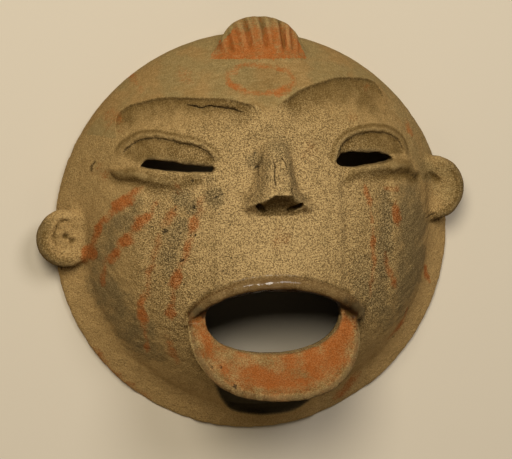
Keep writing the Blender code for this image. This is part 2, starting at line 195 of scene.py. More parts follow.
def swollen(above, rise, fall):
    """A roll beside a line: up from it over `rise`, then down again over `fall`."""
    return np.sin(math.pi / 2 * np.clip(above / rise, 0, 1)) * hill(np.maximum(above - rise, 0), fall)


for edge, lower in zip(LID_EDGES, LOWER_LIDS):
    above, share = beside(edge, X, Y)
    above = above + 0.4 * uneven(2.2, 5, X, Y)
    fade = ends(share, 0.05)
    face += LID_ROLL * (0.6 + 0.4 * ends(share, 0.3)) * fade * swollen(above, 1.7, 1.1)
    lid = ease(-above / 0.8) * fade * (np.abs(above) < 14) * (Y > 30)
    face -= LID_SUNK * lid * hill(above, 6)
    above, share = beside(lower, X, Y)
    outer = share if lower[0][0] > 0 else 1 - share
    thick = (0.3 + 0.7 * ease(outer * 1.4)) * ease(share / 0.05) * ease((1 - share) / 0.05)
    face += LOWER_ROLL * thick * swollen(above, 3.2, 2.2)
    under = np.maximum(-above, 0) / 2.2
    face -= LOWER_CREASE * thick * (0.4 + 0.6 * ease(outer * 1.3)) * under * np.exp(1 - under)
for places, upper, lower in SLITS:
    droop = np.maximum(Y - np.interp(X, places, upper), 0)
    inside = ease((X - places[0]) / 4) * ease((places[-1] - X) / 4) * (droop < 8)
    face -= SLIT_PRESSED * np.exp(-droop / 1.3) * inside

# The nose
# A wedge of clay with a flat ridge and hollow sides, drawn out to two wings. Its foot is
# cut steeply back, and it cracked lengthways as it dried.
NOSE_TOP_Y = 46.0
NOSE_TIP_Y = 21.4
NOSE_FOOT_Y = 13.2
NOSE_RISE = 13.6
NOSE_CRACK_DEPTH = 0.7
down = (NOSE_TOP_Y - Y) / (NOSE_TOP_Y - NOSE_TIP_Y)
middle = np.interp(down, (0, 1, 1.3), (-0.2, -1.4, -0.3))
across = np.abs(X - middle)
ridge = np.interp(down, (0, 0.4, 0.8, 1.0, 1.25), (1.4, 2.5, 3.2, 4.6, 8.0))
spread_at = (0, 0.1, 0.36, 0.69, 0.9, 1.0, 1.16, 1.3)
spread = np.interp(down, spread_at, (4.2, 5.4, 7.4, 8.6, 10.6, 12.6, 15.6, 16.2))
side = np.clip((across - ridge) / (spread - ridge), 0, 1)
rise = NOSE_RISE * (0.2 + 0.8 * np.clip(down, 0, 1)) * ease((down + 0.03) / 0.2)


def nose_front(x):
    """Where the nose breaks off to its foot."""
    edge = (15.4, 17.4, 19.8, 22.6, 22.6, 18.8, 16.2, 14.6)
    return np.interp(x, (-17.3, -13.4, -8.2, -3.6, 4.0, 8.9, 13.3, 16.5), edge)


fallen = np.clip((nose_front(X) - Y) / np.maximum(nose_front(X) - NOSE_FOOT_Y, 1.2), 0, 1)
winged = ease((down - 0.72) / 0.3)
flank = (1 - side**1.7) * (1 - winged) + (1 - side) ** 1.15 * (1 + 0.3 * side) * winged
face += rise * flank * (1 - np.sin(math.pi / 2 * fallen))
NOSE_SIDE = [(-4.6, 42.4), (-7.2, 37), (-8.8, 31.5), (-9.4, 25.5), (-12, 21.4), (-15.2, 16)]
NOSE_CRACKS = (
    [(-2.6, 36.8), (-2.1, 34.1), (-2.9, 30.9), (-2.7, 27.8), (-3.1, 25.6)],
    [(0.9, 38.2), (1.7, 36.4), (2.5, 34.6), (2.3, 32.2)],
    [(4.9, 25.4), (4.4, 23.6), (5.2, 21.2)],
)
for points in NOSE_CRACKS:
    above, share = beside(points, X, Y)
    face -= NOSE_CRACK_DEPTH * ends(share, 0.2) * hill(above, 0.6)

# The wet clay
# From here the clay is a block of small cells, each with its distance from the surface,
# negative inside. Lumps are pressed on and openings cut in the order the potter did it.
Z = grid_z[:, None, None].astype(np.float32)


def under_surface(height):
    slope_y, slope_x = np.gradient(height, CELL)
    return ((Z - height) / np.sqrt(1 + slope_x**2 + slope_y**2)).astype(np.float32)


def joined(body, lump, reach):
    """Two bodies of clay as one, with the joint wiped over `reach`."""
    t = np.clip(0.5 + 0.5 * (body - lump) / reach, 0, 1)
    return (body + (lump - body) * t - reach * t * (1 - t)).astype(np.float32)


def cut(body, opening, reach):
    """A body with an opening in it, its edges rounded over `reach`."""
    return -joined(-body, opening, reach)


def block(low, high):
    """The cells between two corners, and their coordinates."""
    axes = (grid_z, grid_y, grid_x)
    cells = tuple(slice(*np.searchsorted(a, (p, q))) for a, p, q in zip(axes, low[::-1], high[::-1]))
    z, y, x = (a[c] for a, c in zip(axes, cells))
    return cells, x[None, None, :], y[None, :, None], z[:, None, None]


def rod(x, y, z, start, end, radii):
    """Distance from a round bar between two points."""
    start, way = np.array(start, float), np.subtract(end, start)
    t = ((x - start[0]) * way[0] + (y - start[1]) * way[1] + (z - start[2]) * way[2]) / (way @ way)
    t = np.clip(t, 0, 1)
    dx, dy, dz = (c - s - t * a for c, s, a in zip((x, y, z), start, way))
    return np.sqrt(dx**2 + dy**2 + dz**2) - (radii[0] + (radii[1] - radii[0]) * t)


def height_at(x, y):
    return float(face[np.abs(grid_y - y).argmin(), np.abs(grid_x - x).argmin()])


clay = cut(under_surface(face), np.broadcast_to(RIM - radius, (len(grid_z), *X.shape)), 1.2)

# The lips
# The upper lip is a thin roll along the mouth, rubbed smooth. The lower lip is a broad
# scoop that juts out under the mouth, with a thick rounded edge. The mouth is cut through.
UPPER_LIP = [(-38.6, -34.6), (-35.4, -29.6), (-31.3, -25.2), (-26, -21.5), (-20, -18.8), (-13, -16.9),
             (-4, -15.9), (5, -16.1), (14, -17.7), (22, -20.5), (29.5, -24.2), (35.4, -28.6), (38.4, -34.4)]
LIP_LIFT = 0.9
MOUTH = (-0.8, -31.0)
MOUTH_HALF_WIDTH = 29.9
MOUTH_UP, MOUTH_DOWN = 11.5, 17.5
MOUTH_SQUARENESS = 2.3
LIP_HALF_WIDTH, LIP_DOWN = 35.4, 30.4
LIP_SQUARENESS = 2.55
LIP_REACH = 25.0
LIP_THICKNESS = 4.6
LIP_SAG = 2.6
CHIN_HOLLOW = [(-26, -60), (-22.5, -67), (-18.5, -74), (-12.6, -80.6), (-4.5, -83.2), (5.6, -84.2),
               (15.8, -83.2), (21.9, -79.8), (26.3, -74.5), (30, -66)]
CHIN_DEPTH, CHIN_RIDGE = 1.6, 0.8
FAR_OFF = 50.0
above, share = beside(CHIN_HOLLOW, X, Y)
chin = ease(above / 3.5) * ease((-50 - Y) / 8) * (above < 40)
clay += (CHIN_DEPTH * chin - CHIN_RIDGE * ends(share, 0.2) * hill(above, 1.3)).astype(np.float32)
cells, x, y, z = block((-50, -75, 28), (50, -5, 84))
roll = np.full(clay[cells].shape, FAR_OFF)
line = smooth_line(UPPER_LIP, 3)
sizes = np.interp(np.linspace(-1, 1, len(line)), (-1, -0.7, 0, 0.6, 0.85, 1), (1.4, 2.3, 2.7, 2.8, 3.4, 2.4))
for (ax, ay), (bx, by), ra, rb in zip(line, line[1:], sizes, sizes[1:]):
    start, end = (ax, ay, height_at(ax, ay) + LIP_LIFT), (bx, by, height_at(bx, by) + LIP_LIFT)
    roll = np.minimum(roll, rod(x, y, z, start, end, (ra, rb)))
clay[cells] = joined(clay[cells], roll, 0.8)

low, high = np.full(X.shape, -0.7), np.full(X.shape, 2.0)
for _ in range(24):
    share = (low + high) / 2
    wide = MOUTH_HALF_WIDTH + (LIP_HALF_WIDTH - MOUTH_HALF_WIDTH) * share
    tall = MOUTH_DOWN + (LIP_DOWN - MOUTH_DOWN) * share
    bend = MOUTH_SQUARENESS + (LIP_SQUARENESS - MOUTH_SQUARENESS) * np.clip(share, 0, 1)
    beyond = np.abs((X - MOUTH[0]) / wide) ** bend + np.abs((Y - MOUTH[1]) / tall) ** bend > 1
    low, high = np.where(beyond, share, low), np.where(beyond, high, share)
turn = np.arctan2((MOUTH[1] - Y) / tall, (X - MOUTH[0]) / wide)
drop = np.clip(np.sin(turn), 0, 1)
run = np.hypot((LIP_HALF_WIDTH - MOUTH_HALF_WIDTH) * np.cos(turn), (LIP_DOWN - MOUTH_DOWN) * np.sin(turn))
column = np.abs(grid_x[:, None] - (MOUTH[0] + MOUTH_HALF_WIDTH * np.cos(turn)).ravel()).argmin(0)
row = np.abs(grid_y[:, None] - (MOUTH[1] - MOUTH_DOWN * np.sin(turn)).ravel()).argmin(0)
root = face[row, column].reshape(X.shape) - 0.6
climb = LIP_REACH * drop**1.1 - 1.4
lip_share = share
sag = LIP_SAG * np.sin(math.pi * np.clip(share, 0, 1)) * drop
lip_middle = root + climb * np.clip(share, 0, 1) - sag
ys, xs = cells[1], cells[2]
s, end, up = share[ys, xs], run[ys, xs], climb[ys, xs]
slant = np.hypot(end, up)
half = LIP_THICKNESS / 2 * (1.0 - 0.2 * np.clip(s, 0, 1))
out = s * end - half * up / slant
lifted = z - root[ys, xs] + half * end / slant + sag[ys, xs]
along = np.clip((out * end + lifted * up) / slant**2, -0.12, 1)
scoop = np.hypot(out - along * end, lifted - along * up) - half
facing = (turn[ys, xs] > -0.3) & (turn[ys, xs] < math.pi + 0.3)
clay[cells] = joined(clay[cells], np.where(facing, scoop, FAR_OFF), 1.6)

reach = np.where(Y > MOUTH[1], MOUTH_UP, MOUTH_DOWN)
bend = np.where(Y > MOUTH[1], 2.05, MOUTH_SQUARENESS)
around = np.abs((X - MOUTH[0]) / MOUTH_HALF_WIDTH) ** bend + np.abs((Y - MOUTH[1]) / reach) ** bend
around = around ** (1 / bend)
mouth = (around - 1) * reach * 1.1

# The ears
# Two flat cakes of clay pressed on the sides and pinched at the edge. The left one has an
# unfinished ring round a pricked middle; the right one is scooped out under a fold.
EARS = ((-87.2, -0.2), (80.8, 20.0))
EAR_RADII = (12.8, 14.4)
EAR_THICKNESS = 7.2
EAR_DISHES = (1.5, 2.6)
EAR_SOFTNESS = 3.2
FOLD_DEPTH = 3.0
LEFT_RING = [(-84.4, 6.2), (-87.0, 7.8), (-90, 6.8), (-91.8, 4.2), (-92.6, 0.6), (-91.6, -2.6), (-89.2, -4.8)]
LEFT_PRICKS = ((-87.3, 0.6, 1.8), (-84.6, -1.4, 1.5), (-89.6, 4.0, 0.5))
RIGHT_FOLD = [(73.6, 22.8), (75, 26), (77.3, 27.6), (80.1, 27.3), (83, 25.2), (86, 22.4)]
RIGHT_CREASE = [(75.5, 6.8), (78, 7.2), (81.5, 8.4)]
for i, (ear_x, ear_y) in enumerate(EARS):
    seat = np.array((ear_x, ear_y)) / math.hypot(ear_x, ear_y) * (RIM - FLANGE_WIDTH)
    ear_z = height_at(*seat) * 0.5 + EAR_THICKNESS * 0.55
    cells, x, y, z = block((ear_x - 22, ear_y - 22, -3), (ear_x + 22, ear_y + 22, 40))
    xx, yy = np.broadcast_arrays(x, y)
    dished = EAR_DISHES[i] * hill(np.hypot(x - ear_x, y - ear_y), 8.6) + 0.3 * uneven(5, 11 + i, xx, yy)
    if i == 0:
        above, share = beside(LEFT_RING, xx, yy)
        above = above + 0.5 * uneven(2.0, 13, xx, yy)
        fade = ends(share, 0.15)
        dished = dished + 0.9 * fade * hill(above, 0.8) - 0.7 * fade * hill(above + 1.8, 1.2)
        for prick_x, prick_y, depth in LEFT_PRICKS:
            prick = np.hypot(x - prick_x, y - prick_y)
            dished = dished + depth * hill(prick, 1.1) - 0.4 * hill(prick - 2.2, 0.9)
    else:
        above, share = beside(RIGHT_FOLD, xx, yy)
        under = np.maximum(-above, 0)
        dished = dished + FOLD_DEPTH * ends(share, 0.25) * (1 - np.exp(-under / 0.7)) * hill(under, 4.0)
        above, share = beside(RIGHT_CREASE, xx, yy)
        dished = dished + 1.0 * ends(share, 0.3) * hill(above, 0.8)
    pinched = np.hypot(x - ear_x, y - ear_y) - EAR_RADII[i] + 0.5 * uneven(9, 7 + i, xx, yy)
    thick = np.maximum(z - ear_z - EAR_THICKNESS / 2 + dished, ear_z - EAR_THICKNESS / 2 - z)
    cake = np.minimum(np.maximum(pinched, thick) + EAR_SOFTNESS, 0) - EAR_SOFTNESS
    cake = cake + np.hypot(np.maximum(pinched + EAR_SOFTNESS, 0), np.maximum(thick + EAR_SOFTNESS, 0))
    clay[cells] = joined(clay[cells], cake, 3.0)

# The tuft
# A half-round lump of hair on the edge over the forehead, combed with a stick while wet.
TUFT = (0.2, 80.0)
TUFT_HALF_WIDTH, TUFT_REACH, TUFT_THICKNESS = 19.0, 20.6, 17.0
TUFT_SQUARENESS = 2.3
TUFT_LEAN = math.radians(-32)
TUFT_FAN = 0.012  # how much wider the combed grooves stand for each millimetre up
TUFT_GROOVES = ((-14.2, 1.2), (-11.0, 0.5), (-6.2, 1.1), (-3.0, 0.4), (0.6, 1.1), (4.4, 0.4), (8.0, 1.6),
                (12.4, 0.8), (15.6, 0.8))  # place across and depth
GROOVE_DEPTH, GROOVE_WIDTH = 1.5, 0.95
cells, x, y, z = block((-28, 52, -3), (28, 101, 48))
xx, yy = np.broadcast_arrays(x, y)
tuft_z = height_at(*TUFT) - TUFT_THICKNESS * 0.28
u = x - TUFT[0]
v = (y - TUFT[1]) * math.cos(TUFT_LEAN) + (z - tuft_z) * math.sin(TUFT_LEAN)
w = -(y - TUFT[1]) * math.sin(TUFT_LEAN) + (z - tuft_z) * math.cos(TUFT_LEAN)
around = np.abs(u / TUFT_HALF_WIDTH) ** TUFT_SQUARENESS + np.abs(v / TUFT_REACH) ** TUFT_SQUARENESS
around = around ** (2 / TUFT_SQUARENESS)
lump = np.sqrt(around + (w / (TUFT_THICKNESS / 2)) ** 2) - 1
lump = lump * TUFT_THICKNESS / 2
fan = u / (1 + TUFT_FAN * (v + 2)) + 0.5 * uneven(7, 21, xx, yy)
for place, depth in TUFT_GROOVES:
    groove = GROOVE_DEPTH * depth * hill(fan - place, GROOVE_WIDTH)
    lump = lump + groove * ease((v + 3) / 6) * ease((w - 1) / 4)
clay[cells] = joined(clay[cells], lump, 2.6)

# The hollow and the openings
# The wall is even, so the hollow's ceiling is the shell let down by its thickness. Mouth,
# slits and nostrils were cut with a blade and a stick, and the foot of the rim is flat.
NOSTRILS = (((-9.2, 17.6), (-6.4, 14.8)), ((9.0, 17.4), (4.9, 15.0)))
NOSTRIL_DEPTH = 4.5
SLIT_RAGGED = 0.35
air = np.where(radius > RIM, -60.0, pressed)
ceiling = np.full(X.shape, 1e9)
steps = int(WALL / CELL) + 1
for i in range(-steps, steps + 1):
    for j in range(-steps, steps + 1):
        if CELL * math.hypot(i, j) < WALL:
            ball = math.sqrt(WALL**2 - CELL**2 * (i * i + j * j))
            ceiling = np.minimum(ceiling, np.roll(air, (i, j), (0, 1)) - ball)
ceiling = np.maximum(ceiling, -8.0)
clay = cut(clay, under_surface(ceiling), 0.8)
clay = cut(clay, np.broadcast_to(mouth, clay.shape), 0.9)
for places, upper, lower in SLITS:
    ragged = SLIT_RAGGED * uneven(2.4, 31, X, Y)
    slit = Y - np.interp(X, places, upper) + ragged
    slit = np.maximum(slit, np.interp(X, places, lower) - Y + 0.2 * ragged)
    slit = np.maximum(slit, np.maximum(places[0] - X, X - places[-1]))
    clay = cut(clay, np.broadcast_to(slit, clay.shape), 0.5)
cells, x, y, z = block((-16, 4, 50), (16, 26, 84))
for (ax, ay), (bx, by) in NOSTRILS:
    floor = height_at((ax + bx) / 2, (ay + by) / 2) - NOSTRIL_DEPTH
    hole = np.maximum(rod(x, y, floor, (ax, ay, floor), (bx, by, floor), (1.3, 1.1)), floor - z)
    clay[cells] = cut(clay[cells], hole, 0.4)
clay = np.maximum(clay, -Z)

# The skin of the clay
# The cells are turned into a closed skin, with a point in each cell that the surface goes
# through. Nothing shows how the hollow was finished, so its skin keeps fewer faces.
HOLLOW_FACES = 0.16
TRIANGLES = 186000


def skin(field):
    """Points and four-sided faces where the field changes sign, by surface nets."""
    inside = field < 0
    count = np.zeros(tuple(n - 1 for n in field.shape), np.uint8)
    corners = [(k, j, i) for k in (0, 1) for j in (0, 1) for i in (0, 1)]
    shape = count.shape
    for k, j, i in corners:
        count += inside[k:k + shape[0], j:j + shape[1], i:i + shape[2]]
    places = np.argwhere((count > 0) & (count < 8))
    number = np.full(shape, -1, np.int32)
    number[tuple(places.T)] = np.arange(len(places))
    values = [field[places[:, 0] + k, places[:, 1] + j, places[:, 2] + i] for k, j, i in corners]
    total = np.zeros((len(places), 3))
    crossings = np.zeros(len(places))
    for a, p in enumerate(corners):
        for b in range(a + 1, 8):
            q = corners[b]
            if sum(abs(m - n) for m, n in zip(p, q)) == 1:
                crossed = (values[a] < 0) != (values[b] < 0)
                gap = np.where(crossed, values[a] - values[b], 1)
                t = np.where(crossed, values[a] / gap, 0)[:, None]
                total += (np.array(p) + (np.array(q) - np.array(p)) * t) * crossed[:, None]
                crossings += crossed
    points = places + total / crossings[:, None]
    quads = []
    for axis in range(3):
        first, second = [slice(None)] * 3, [slice(None)] * 3
        first[axis], second[axis] = slice(0, -1), slice(1, None)
        changed = inside[tuple(first)] != inside[tuple(second)]
        k, j, i = np.nonzero(changed)
        edge = np.stack([k, j, i], 1)
        others = [a for a in range(3) if a != axis]
        safe = np.all(edge[:, others] > 0, 1) & np.all(edge[:, others] < np.array(shape)[others], 1)
        edge = edge[safe]
        ring = []
        for du, dv in ((-1, -1), (0, -1), (0, 0), (-1, 0)):
            cell = edge.copy()
            cell[:, others[0]] += du
            cell[:, others[1]] += dv
            ring.append(number[tuple(cell.T)])
        ring = np.stack(ring, 1)
        flip = inside[tuple(edge.T)]
        if axis == 1:
            flip = ~flip
        ring[flip] = ring[flip][:, ::-1]
        quads.append(ring)
    return points, np.vstack(quads)


def sample(field, points):
    """The field's value and slope at points given in cells."""
    base = np.clip(np.floor(points).astype(int), 0, np.array(field.shape) - 2)
    f = (points - base).T
    k, j, i = base.T
    c = [[[field[k + a, j + b, i + d] for d in (0, 1)] for b in (0, 1)] for a in (0, 1)]
    x00, x01, x10, x11 = (c[a][b][0] + (c[a][b][1] - c[a][b][0]) * f[2] for a in (0, 1) for b in (0, 1))
    y0, y1 = x00 + (x01 - x00) * f[1], x10 + (x11 - x10) * f[1]
    value = y0 + (y1 - y0) * f[0]
    slope_z = y1 - y0
    slope_y = (x01 - x00) * (1 - f[0]) + (x11 - x10) * f[0]
    dx = [(c[a][b][1] - c[a][b][0]) for a in (0, 1) for b in (0, 1)]
    slope_x = (dx[0] * (1 - f[1]) + dx[1] * f[1]) * (1 - f[0]) + (dx[2] * (1 - f[1]) + dx[3] * f[1]) * f[0]
    return value, np.stack([slope_z, slope_y, slope_x], 1)


points, quads = skin(clay)
for _ in range(2):
    value, slope = sample(clay, points)
    steep = np.maximum((slope**2).sum(1), 0.05)
    points -= np.clip(value / steep, -0.6, 0.6)[:, None] * slope
origin = np.array([grid_z[0], grid_y[0], grid_x[0]])
points = (points * CELL + origin)[:, ::-1]

mask_mesh = bpy.data.meshes.new("clay_mask_skin")
mask_mesh.vertices.add(len(points))
mask_mesh.vertices.foreach_set("co", points.ravel().astype(np.float32))
mask_mesh.loops.add(quads.size)
mask_mesh.loops.foreach_set("vertex_index", quads.ravel().astype(np.int32))
mask_mesh.polygons.add(len(quads))
mask_mesh.polygons.foreach_set("loop_start", np.arange(0, quads.size, 4, dtype=np.int32))
mask_mesh.update(calc_edges=True)
mask_mesh.validate()
mask = bpy.data.objects.new("clay_mask_skin", mask_mesh)
bpy.context.scene.collection.objects.link(mask)


def ceiling_over(x, y):
    """The height of the hollow's ceiling at the nearest cell."""
    row = np.clip(np.round((y - grid_y[0]) / CELL).astype(int), 0, len(grid_y) - 1)
    column = np.clip(np.round((x - grid_x[0]) / CELL).astype(int), 0, len(grid_x) - 1)
    return ceiling[row, column]


behind = points[:, 2] < ceiling_over(points[:, 0], points[:, 1]) + 1.2
behind &= np.hypot(points[:, 0], points[:, 1]) < RIM - 1.5
group = mask.vertex_groups.new(name="hollow")
group.add(np.nonzero(behind)[0].tolist(), 1.0, "REPLACE")
group.add(np.nonzero(~behind)[0].tolist(), HOLLOW_FACES, "REPLACE")
fewer = mask.modifiers.new("fewer faces", "DECIMATE")
fewer.ratio = min(1.0, TRIANGLES / (2 * len(quads)))
fewer.vertex_group = "hollow"
bpy.context.view_layer.update()
thinned = mask.evaluated_get(bpy.context.evaluated_depsgraph_get())
finished = bpy.data.meshes.new_from_object(thinned)
mask.modifiers.clear()
mask.vertex_groups.clear()
mask.data = finished
mask.data.name = "clay_mask_skin"

# The paint and the years
# Worn stripes of red earth colour run down both cheeks, over the tuft and inside the lower
# lip, and the forehead has a smooth olive slip. Smoke greyed the cheeks and nose. Red, grey
# and pits are kept on the skin as depths, over 0 inside an edge, and the rest as 0 to 1.
RED_STRIPES = (  # half width, strength and line
    (1.9, 0.4, [(-55.8, 24.3), (-58.7, 22), (-61.5, 19.3)]),
    (2.3, 1.35, [(-61.4, 20), (-64.7, 16.9), (-67.2, 14)]),
    (1.9, 0.65, [(-67.4, 14), (-70.2, 10.8), (-72.6, 7.8)]),
    (1.7, 0.95, [(-72.8, 7.4), (-73.6, 4.2), (-74.7, -0.1), (-75.8, -2.5)]),
    (2.4, 1.2, [(-76.2, -3.6), (-77.6, -6.2), (-79.2, -8.8)]),
    (1.8, 0.3, [(-50.8, 18.5), (-53.7, 14.1)]),
    (2.4, 0.8, [(-53.3, 13.7), (-56.9, 10.1), (-60.5, 5.5)]),
    (2.4, 1.0, [(-61.4, 3.6), (-63.6, 0.9), (-65.2, -1)]),
    (2.2, 0.65, [(-65.6, -2.4), (-67.8, -6.2), (-70.5, -9.7)]),
    (1.8, 0.4, [(-70.8, -10.3), (-71.5, -14.1), (-72, -20.8)]),
    (2.5, 0.65, [(-44, 15.7), (-46.1, 11.4), (-47.8, 8.4)]),
    (2.0, 0.6, [(-49.8, 3.6), (-51, -1.3), (-52.2, -6.6)]),
    (2.4, 0.35, [(-52.6, -7.5), (-53.8, -12.8), (-54.1, -17.7), (-54.4, -21.8)]),
    (2.0, 1.1, [(-56.5, -23), (-56.5, -28.1), (-55.8, -32.8), (-55.1, -37.5)]),
    (1.4, 0.55, [(-54.6, -38.9), (-53.4, -43.8), (-52, -50)]),
    (2.4, 0.35, [(-32.3, 20.5), (-32.9, 16.3), (-33.8, 12.9)]),
    (2.6, 0.8, [(-34.2, 12), (-35.5, 8.6), (-36.8, 5.6)]),
    (2.2, 0.6, [(-36.8, 2.6), (-38.5, -1.7), (-40.6, -6.9), (-41.8, -10.4)]),
    (2.2, 1.1, [(-42.2, -11.3), (-43.4, -14.8), (-44.5, -19.3)]),
    (1.7, 0.65, [(-44.5, -19), (-44.8, -25)]),
    (2.0, 1.0, [(-44.7, -25.6), (-44.8, -28.8), (-44.9, -32.1)]),
    (2.4, 0.4, [(-45.8, -41.3), (-43.7, -47.6), (-40.1, -54.5)]),
    (1.8, 0.8, [(40.4, 24.4), (41.3, 20.5), (42.6, 15.6)]),
    (1.4, 0.45, [(43, 13.9), (43.4, 6.9)]),
    (1.5, 0.75, [(43.9, 5.1), (43.9, -1.9), (45.1, -10.8)]),
    (1.6, 0.45, [(44.6, -12.5), (43.4, -19.6), (43.2, -25)]),
    (2.3, 0.7, [(55.6, 16), (56.2, 12.1), (57.3, 6.7)]),
    (1.9, 0.6, [(50.9, -6.5), (51.6, -11.4), (54.1, -16.7), (57, -21.8)]),
    (1.6, 1.1, [(78, -16.4), (79.5, -20.4), (81.6, -24.5)]),
    (2.2, 0.65, [(67.8, -35.7), (66.8, -41.5), (63.8, -45.5), (57.6, -48.2)]),
    (3.4, 0.5, [(47.4, -67.1), (43.2, -72.9), (37.9, -78.3)]),
    (2.0, 0.35, [(50.5, 23), (57, 22.1)]),
    (3.4, 0.3, [(-74.9, -51), (-68.5, -60), (-61.3, -67.6), (-49.5, -75.2)]),
    (2.8, 0.35, [(-57, 72.5), (-55.4, 68.5), (-53.5, 65.5)]),
    (2.4, 0.45, [(66.5, 50.5), (68.2, 45)]),
    (2.2, 0.6, [(-13.5, 74.6), (-16.4, 71.8), (-16.2, 68.6), (-13, 66)]),
    (1.8, 0.4, [(-13, 66), (-8, 64.6), (-3.6, 64.4), (2, 64.8)]),
    (2.1, 0.68, [(2, 64.8), (5.6, 65.4), (8.6, 66.8)]),
    (1.9, 0.5, [(8.6, 66.8), (11.4, 70.2), (9.6, 73.6), (4.6, 75.6)]),
    (1.6, 0.34, [(4.6, 75.6), (-3, 76.4), (-10, 76.2), (-13.5, 74.6)]),
)
RED_SPOTS = ((37, 55, 4.0, 0.25), (-42, 24.5, 4.0, 0.3), (0, 3, 9, 0.12), (14, 40, 8, 0.12),
             (-66, 52, 7, 0.3), (-72, 30, 6, 0.2), (-35, 72, 6, 0.22), (48, 66, 3, 0.25))
GREY_BANDS = (
    (6.0, 0.6, [(-60, 17), (-65.9, 8.2), (-71.3, -2.6), (-72, -16)]),
    (8.0, 0.8, [(-72, -14), (-68, -28), (-61, -38), (-50, -50)]),
    (4.6, 0.7, [(-42, 9), (-45.8, -1.9), (-47, -12)]),
    (4.0, 0.9, [(50.8, 20), (50.8, 10), (50.8, -2.9), (49, -20)]),
    (9.0, 1.15, [(64, 20), (66, 8), (66.8, -2.5), (67, -16), (64, -32)]),
    (8.0, 0.6, [(37.9, -10), (40, -18), (48, -28), (56, -38)]),
)
GREY_SPOTS = ((-40.4, 20.5, 3.4, 1.5), (-35.8, 16.3, 2.9, 1.4), (-26.9, 20.6, 3.7, 1.3),
              (-40.8, 8.5, 3.0, 1.2), (-65.9, 8.6, 4.5, 1.0), (-9.2, 36, 4.0, 0.9), (10.6, 19.6, 3.4, 0.6),
              (-28.5, 27.5, 3.0, 0.5))
TUFT_STRIPS = ((-13.0, 1.9, 1.7, 92), (-6.6, 1.9, 1.5, 93), (-4.2, 1.0, 0.9, 89), (1.8, 1.8, 1.6, 92),
               (7.4, 1.1, 0.9, 95), (10.4, 1.0, 1.1, 94), (16.2, 2.4, 0.9, 88))  # x, width, strength, top
# the brow patches are painted shade with brown clay under the right brow; the mouth's corner marks next to
# them are painted shade in the corner creases, over dark clay lumps on the right
BROW_PATCHES = ((20, 64, 13, 7, 1.0), (31, 67, 13, 8, 1.25), (46, 62, 9, 9, 0.95))
MOUTH_CORNER_SHADE = ((34.2, -29.6, 4.6, 1.2), (38.5, -30.6, 3.6, 1.0), (37.5, -34.0, 3.4, 0.9),
               (-34.0, -28.6, 2.8, 1.2), (-31.4, -30.4, 1.8, 1.2), (29.5, -25.5, 3.0, 0.7))
SCRATCH = [(-76.6, 29.6), (-75.6, 32.2), (-74.4, 34.8)]
PITS = ((-47.6, 5.8, 1.6), (-44.1, 18.9, 0.8), (-43.2, 15.3, 0.9), (-37.9, 13.7, 0.7), (-41.7, 5.1, 0.9),
        (-37.2, 4.3, 0.8), (-35.2, 4.4, 0.9), (-44, -1.4, 0.8), (-43.6, -4, 0.8), (-40.8, -6.5, 1.4),
        (-24.6, -10.4, 0.9), (-20.9, 9.1, 0.8), (-40.1, -16.9, 0.9), (-47.4, -16.8, 0.8),
        (-52.8, 7.3, 0.9), (-40.7, -26.3, 0.8), (-35.4, 16.3, 1.2), (-26.5, 20.6, 1.1),
        (-23.9, 22.2, 0.9), (63.6, -49.1, 0.9), (-9.1, 39.5, 1.1), (-9, 33.6, 1.1), (12.6, 35.4, 0.8),
        (-25.5, -51.6, 0.9), (-21.2, -58.3, 1.3), (-29.7, -50.9, 0.8), (-3.2, 10.6, 0.6),
        (-6.3, 9, 0.6), (-36, 27.6, 1.0))
CRACK_STRENGTHS = (1.0, 0.85, 0.75, 0.7, 0.7, 0.6, 0.35, 0.7, 0.7)
MOUTH_LEVEL = 46.0
EDGE_FALL = 0.7
PIT_DEPTH = 0.35

count = len(finished.vertices)
place = np.zeros(count * 3, np.float32)
finished.vertices.foreach_get("co", place)
place = place.reshape(-1, 3).astype(float)
px, py, pz = place.T


def laid(depths):
    """The deepest of several coats at each point."""
    return np.max(np.stack(depths), axis=0)


def stripe(half_width, strength, points):
    off, share = beside(points, px, py)
    wear = 0.9 + 0.35 * uneven(4, 41, px, py)
    off = off + 0.7 * uneven(3, 42, px, py)
    laid_on = (strength + 0.12) * wear * (0.6 + 0.4 * ends(share, 0.2))
    return laid_on - (np.abs(off) / half_width) ** 2 * EDGE_FALL


def spot(x, y, size, strength):
    return strength - EDGE_FALL * (np.hypot(px - x, py - y) / size) ** 2


def near(x, y, size):
    return hill(np.hypot(px - x, py - y), size)


def over_plan(values):
    """Values laid out over the grid, read at each point of the skin."""
    slab = np.broadcast_to(values.astype(np.float32), (2, *values.shape))
    cells = np.stack([np.zeros(count), (py - grid_y[0]) / CELL, (px - grid_x[0]) / CELL], 1)
    return sample(slab, cells)[0]


under_shell = pz < ceiling_over(px, py) + 1.0
red = laid([stripe(*s) for s in RED_STRIPES] + [spot(*s) for s in RED_SPOTS])
grey = laid([stripe(*s) for s in GREY_BANDS] + [spot(*s) for s in GREY_SPOTS])
pitted = laid([1 - (np.hypot(px - x, py - y) / size) ** 2 for x, y, size in PITS])

# on the tuft the red lies along its combed grooves, down to a straight line at its foot
tuft_side = 22.6 - np.where(px < -2, 0.85, 0.35) * np.clip(py - 79, 0, 14)
on_tuft = ease((py - 78.5) / 1.2) * ease((tuft_side - np.abs(px + 2.2)) / 1.6) * (pz > 10)
tuft_red = np.full(count, -1.0)
for x, width, strength, top in TUFT_STRIPS:
    off = px - x * (1 + 0.004 * (py - 80)) + 0.7 * uneven(4, 43, px, py)
    tuft_red = np.maximum(tuft_red, strength * ease((top - py) / 4) - EDGE_FALL * (off / width) ** 2)
tuft_red = np.maximum(tuft_red, 0.85 * ease((84.0 - py) / 4) + 0.25 * uneven(4, 44, px, py))
tuft_red = np.maximum(tuft_red, 0.66 * ease((97 - py) / 7) + 0.25 * uneven(3, 45, px, py * 0.4))
red = np.where(on_tuft > 0.3, np.maximum(red, tuft_red), red)

